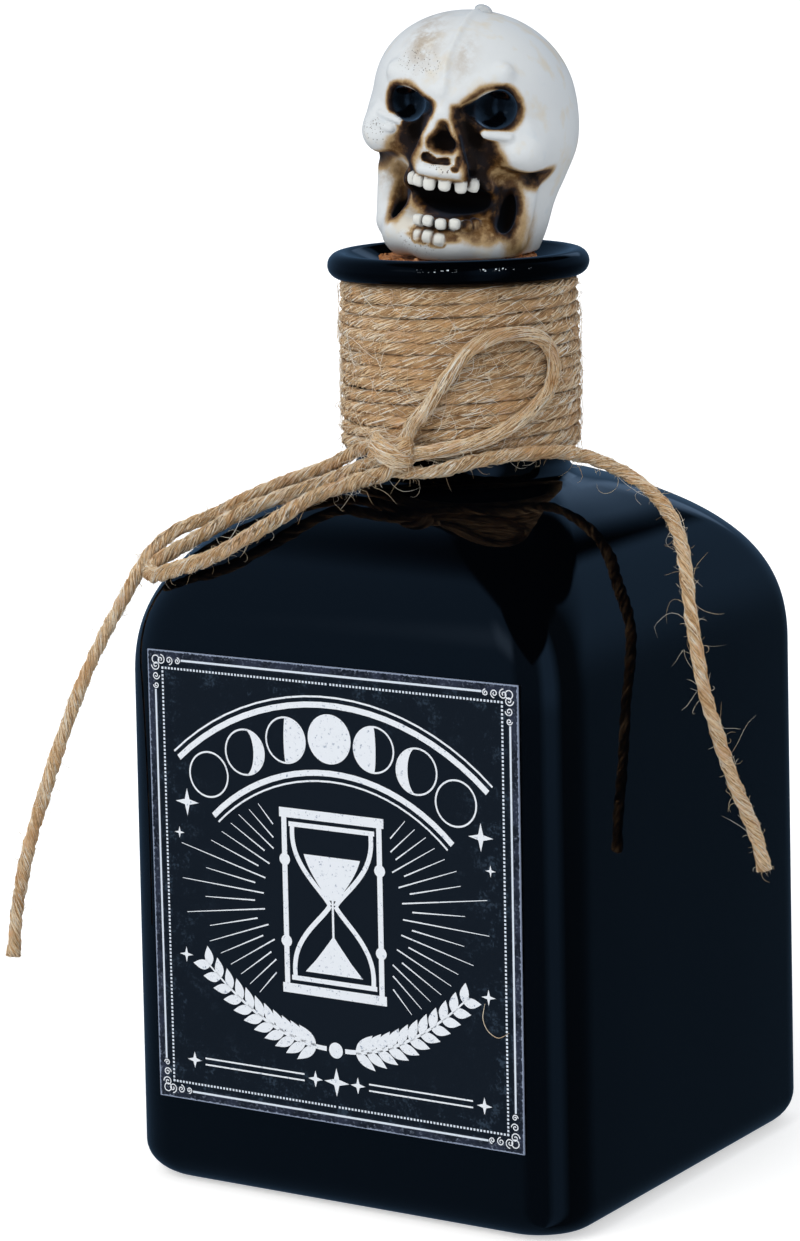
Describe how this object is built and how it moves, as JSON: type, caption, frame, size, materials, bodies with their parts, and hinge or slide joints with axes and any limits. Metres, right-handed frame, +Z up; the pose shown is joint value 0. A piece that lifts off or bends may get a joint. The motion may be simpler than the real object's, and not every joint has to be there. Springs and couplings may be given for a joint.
{
  "type": "decorative stoppered bottle",
  "caption": "Square decorative glass bottle with a round shoulder, a labelled front, a twine-wound neck tied in a bow, and a cork stopper carrying a moulded skull.",
  "frame": {"origin": "centre of the flat base, on the plane the bottle stands on", "axes": "+Z up along the bottle's axis, -Y out of the labelled front face, +X to the right as seen from the front"},
  "size_m": [0.1337, 0.1043, 0.2173],
  "materials": {
    "black_glass": "glossy opaque black",
    "label_print": "satin printed paper",
    "cork": "raw cork",
    "skull_paint": "satin ivory with a dark wash in the hollows",
    "clear_glue": "clear glossy",
    "jute_twine": "hairy natural twine"
  },
  "bodies": {
    "bottle": {"glass_bottle": "black_glass", "front_label": "label_print", "neck_winding": "jute_twine", "bow_knot": "jute_twine", "left_loop": "jute_twine", "upper_loop": "jute_twine", "left_tail": "jute_twine", "right_tail": "jute_twine"},
    "stopper": {"cork_stopper": "cork", "skull_topper": "skull_paint", "crown_plug": "clear_glue"}
  },
  "joints": [
    {"name": "stopper_lift", "type": "slide", "parent": "bottle", "child": "stopper", "axis": [0, 0, 1], "range_m": [0, 0.045]}
  ]
}
